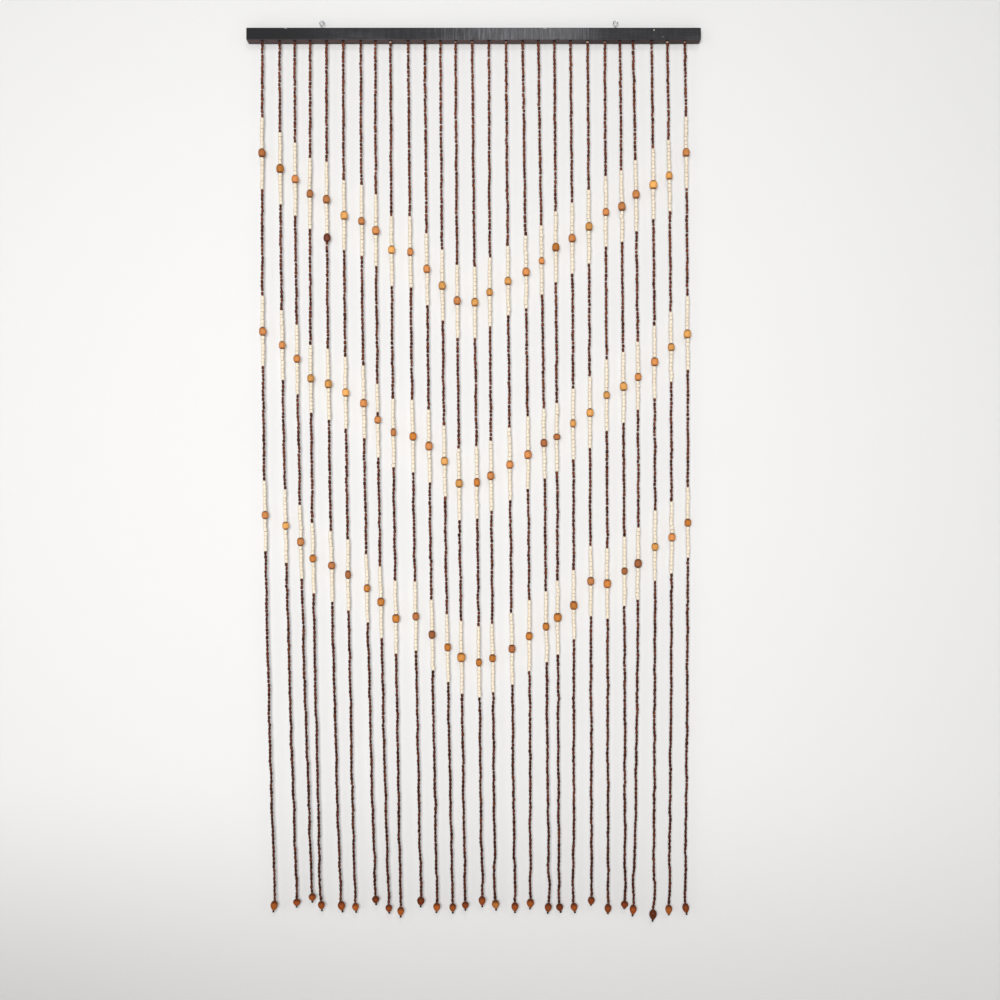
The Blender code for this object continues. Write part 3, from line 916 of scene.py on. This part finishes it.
# A cord's stain is 0 where it is pale, 0.5 where it is stained brown and 1 where it is melted black.
# At the rail most are stained, and the others half stained or pale, but all are dark in their holes,
# which is painted shade
PAINTED_SHADE_OF_CORD_IN_HOLE = 0.9
RAIL_KNOT_STAIN = 0.58
HALF_STAINED_KNOTS = {13: 0.34, 14: 0.34, 16: 0.34, 22: 0.34, 27: 0.34, 9: 0.12, 21: 0.12, 26: 0.12}
CORD_COLOURS = ((0.560, 0.430, 0.340), (0.075, 0.021, 0.013), (0.012, 0.006, 0.005))
PAINTED_SHADE_BETWEEN_PLIES = (0.60, 0.50, 0.45)


def cord_material():
    """Nylon thread: pale, stained or melted black, with painted shade between its plies."""
    material, tree, shader = new_material("cord")
    place = object_place(tree)
    plies = stretched_noise(tree, place, PLY_SCALE, 3)
    shaded = fade(tree, plies, *PLIES_SET_IN)
    colour = mix_colours(tree, shaded, stain_ramp(tree, CORD_COLOURS), opaque(PAINTED_SHADE_BETWEEN_PLIES), "MULTIPLY")
    tree.links.new(colour, shader.inputs["Base Color"])
    rough = calculate(tree, "MULTIPLY_ADD", attribute(tree, "stain"), -MELTED_SMOOTHER, CORD_ROUGHNESS)
    tree.links.new(rough, shader.inputs["Roughness"])
    shader.inputs["Specular IOR Level"].default_value = CORD_GLOSS
    give_relief(tree, shader, 0.4, 0.2 * MM, plies)
    return material


def knot_path(centre, radius, half_height, steps, turn):
    """An overhand knot: two turns round an upright axis, while its distance from it and its height swing
    three times, a quarter swing apart."""
    t = np.linspace(0, 2 * math.pi, steps, endpoint=False)
    away = radius * (1 - KNOT_WAIST_SHARE + KNOT_WAIST_SHARE * np.cos(3 * t))
    x = away * np.cos(2 * t + turn)
    y = away * np.sin(2 * t + turn)
    return centre + np.stack([x, y, half_height * np.sin(3 * t)], axis=1)


def knots(name, centres, radius, half_heights, stains, material):
    """Knots as closed tubes of thread, one for each centre, each with its own stain."""
    points = []
    for turn, (centre, half_height) in enumerate(zip(centres, half_heights)):
        path = knot_path(centre, radius, half_height, KNOT_STEPS, turn)
        loop = np.concatenate([path[-1:], path, path[:1]])
        tube = tube_points(loop, np.full(len(loop), KNOT_THREAD / 2), KNOT_SIDES, loop - centre)
        points.append(tube[KNOT_SIDES:-KNOT_SIDES])
    each = KNOT_STEPS * KNOT_SIDES
    quads, caps = tube_faces(KNOT_STEPS, KNOT_SIDES, closed=True)
    quads = repeat_faces(quads, each, len(centres))
    return put_in_mesh(name, np.concatenate(points), quads, caps, material, stain=np.repeat(stains, each))


def drop_underside(strand):
    """The point where the cord leaves the drop bead: half its height down its axis from its middle."""
    return strand.drop.centre - strand.drop.axis * strand.drop.height / 2


def cord_path(strand):
    """The cord's points: down the strand's route from inside the rail, then through the drop bead."""
    levels = np.arange(rail_underside + CORD_IN_RAIL, strand.drop_top, -CORD_STEP)
    down_strand = route(strand, np.append(levels, strand.drop_top))
    return np.concatenate([down_strand, [strand.drop.centre, drop_underside(strand)]])


def cord_stain(heights, knot_stain):
    """The cord's stain at each height: painted shade in the hole, its knot's stain just below, and none
    further down."""
    near_rail = heights > rail_underside - CORD_STAINED_BELOW_RAIL
    in_hole = heights > rail_underside - CORD_STEP / 2
    return np.where(in_hole, PAINTED_SHADE_OF_CORD_IN_HOLE, knot_stain * near_rail)


def tip_knot(strand):
    """A tip knot's middle and half-height: between the drop bead's underside and the strand's tip."""
    below_drop = drop_underside(strand)
    room = (below_drop[2] - strand.tip[2] - KNOT_THREAD) / 2
    middle = (below_drop + strand.tip) / 2 + strand.drop.axis * TIP_KNOT_UP
    return middle, max(LEAST_TIP_KNOT_HALF_HEIGHT, room)


cord_finish = cord_material()
rail_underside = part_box("rail")[0].z
strand_numbers = range(1, len(strands) + 1)
rail_knot_stains = [HALF_STAINED_KNOTS.get(number, RAIL_KNOT_STAIN) for number in strand_numbers]
cord_parts = []
points_before = 0
for strand, knot_stain in zip(strands, rail_knot_stains):
    path = cord_path(strand)
    tube = tube_points(path, np.full(len(path), CORD_DIAMETER / 2), CORD_SIDES, (0.0, 1.0, 0.0))
    quads, caps = tube_faces(len(path), CORD_SIDES)
    stains = np.repeat(cord_stain(path[:, 2], knot_stain), CORD_SIDES)
    cord_parts.append((tube, quads + points_before, caps + points_before, stains))
    points_before += len(tube)
cord_points, cord_quads, cord_caps, cord_stains = map(np.concatenate, zip(*cord_parts))
cords = put_in_mesh(
    "threading_cords", cord_points, cord_quads, cord_caps, cord_finish, stain=cord_stains,
)
dress(cords, STRAND_NAMES)

rail_knot_z = rail_underside - RAIL_KNOT_BELOW_RAIL - RAIL_KNOT_HALF_HEIGHT - KNOT_THREAD / 2
rail_knot_centres = [np.append(strand.middles[-1], rail_knot_z) for strand in strands]
rail_knots = knots(
    "knots_under_rail", rail_knot_centres, RAIL_KNOT_RADIUS, [RAIL_KNOT_HALF_HEIGHT] * len(strands),
    rail_knot_stains, cord_finish,
)
dress(rail_knots, STRAND_NAMES)

tip_knot_centres, tip_knot_half_heights = zip(*[tip_knot(strand) for strand in strands])
tip_knots = knots(
    "melted_knots", tip_knot_centres, TIP_KNOT_RADIUS, tip_knot_half_heights, np.ones(len(strands)),
    cord_finish,
)
dress(tip_knots, STRAND_NAMES)


# Room
# A pale floor below the drops and an off-white wall just behind the rail, with painted shade low
# down on it, more on the left, and see-through from behind so that the curtain's back can be looked
# at. The main light stands behind the viewer, two weak ones left and right of them, and a small high
# one gives the rail's paint a sheen.

WALL_Y = 0.016
WALL_HALF_WIDTH = 2.2
WALL_TOP = 1.2
FLOOR_Z = -2.05
WALL_PALE = (0.610, 0.605, 0.598)
WALL_PAINTED_SHADE = (0.460, 0.455, 0.446)
WALL_PAINTED_SHADE_DOWN = (-1.45, -2.05)
WALL_PAINTED_SHADE_SHARE = 0.75
LESS_PAINTED_SHADE_A_METRE_RIGHT = 0.3
FLOOR_PALE = (0.62, 0.615, 0.60)
FLOOR_HALF_WIDTH = 6
FLOOR_CLOUD_SCALE = (2, 2, 2)
SKY_COLOUR = (0.93, 0.95, 1.0)
SKY_STRENGTH = 0.2

# Each light: its name, place, the point that it is turned to, width, height and power
LIGHTS = (
    ("light_front", (-0.25, -3.7, -0.75), (-0.1, 0.0, -0.85), 1.0, 1.0, 133),
    ("light_left", (-2.3, -2.9, -0.5), (0.0, 0.0, -0.9), 1.4, 2.4, 17),
    ("light_right", (2.5, -2.9, -0.5), (0.1, 0.0, -0.9), 1.4, 2.4, 10),
    ("light_above", (0.34, -4.2, 1.65), (0.1, 0.0, -0.4), 0.8, 0.5, 36),
)


def flat_sheet(name, corners, material):
    """A stage piece with one four-sided face."""
    quad = np.arange(4)[None]
    piece = put_in_mesh(name, np.array(corners, float), quad, quad[:0], material)


def wall_paint_with_painted_shade():
    """Matt off-white paint, with painted shade just above the floor, more of it on the left, and
    see-through from behind."""
    material, tree, shader = new_material("wall_paint_with_painted_shade")
    place = object_place(tree)
    x, y, z = add_node(tree, "ShaderNodeSeparateXYZ", {0: place}).outputs
    # Painted shade low down on the wall, more of it on the left
    grey = calculate(tree, "MULTIPLY_ADD", x, -LESS_PAINTED_SHADE_A_METRE_RIGHT, WALL_PAINTED_SHADE_SHARE, clamp=True)
    grey = calculate(tree, "MULTIPLY", fade(tree, z, *WALL_PAINTED_SHADE_DOWN), grey)
    colour = mix_colours(tree, grey, opaque(WALL_PALE), opaque(WALL_PAINTED_SHADE))
    tree.links.new(colour, shader.inputs["Base Color"])
    shader.inputs["Roughness"].default_value = 0.9
    shader.inputs["Specular IOR Level"].default_value = 0.1
    behind = add_node(tree, "ShaderNodeNewGeometry").outputs["Backfacing"]
    clear = add_node(tree, "ShaderNodeBsdfTransparent")
    mixed = add_node(tree, "ShaderNodeMixShader", {0: behind, 1: shader.outputs[0], 2: clear.outputs[0]})
    tree.links.new(mixed.outputs[0], tree.nodes["Material Output"].inputs["Surface"])
    return material


def floor_paint():
    """Plain pale matt floor."""
    material, tree, shader = new_material("floor_paint")
    place = object_place(tree)
    cloud = stretched_noise(tree, place, FLOOR_CLOUD_SCALE, 2)
    colour = mix_colours(tree, cloud, opaque(FLOOR_PALE), opaque(WALL_PALE))
    tree.links.new(colour, shader.inputs["Base Color"])
    shader.inputs["Roughness"].default_value = 0.8
    return material


def soft_light(name, place, aim, width, height, power):
    """A rectangular light at a place, turned towards a point."""
    light = bpy.data.lights.new(name, "AREA")
    light.shape = "RECTANGLE"
    light.size = width
    light.size_y = height
    light.energy = power
    lamp = bpy.data.objects.new(name, light)
    bpy.context.scene.collection.objects.link(lamp)
    lamp.location = place
    direction = Vector(aim) - Vector(place)
    lamp.rotation_euler = direction.to_track_quat("-Z", "Y").to_euler()


flat_sheet("wall", [
    (-WALL_HALF_WIDTH, WALL_Y, FLOOR_Z), (WALL_HALF_WIDTH, WALL_Y, FLOOR_Z),
    (WALL_HALF_WIDTH, WALL_Y, WALL_TOP), (-WALL_HALF_WIDTH, WALL_Y, WALL_TOP),
], wall_paint_with_painted_shade())
flat_sheet("floor", [
    (-FLOOR_HALF_WIDTH, -FLOOR_HALF_WIDTH, FLOOR_Z), (FLOOR_HALF_WIDTH, -FLOOR_HALF_WIDTH, FLOOR_Z),
    (FLOOR_HALF_WIDTH, FLOOR_HALF_WIDTH, FLOOR_Z), (-FLOOR_HALF_WIDTH, FLOOR_HALF_WIDTH, FLOOR_Z),
], floor_paint())
for settings in LIGHTS:
    soft_light(*settings)

world = bpy.data.worlds.new("room_light")
bpy.context.scene.world = world
world.use_nodes = True
background = world.node_tree.nodes["Background"]
background.inputs["Color"].default_value = opaque(SKY_COLOUR)
background.inputs["Strength"].default_value = SKY_STRENGTH
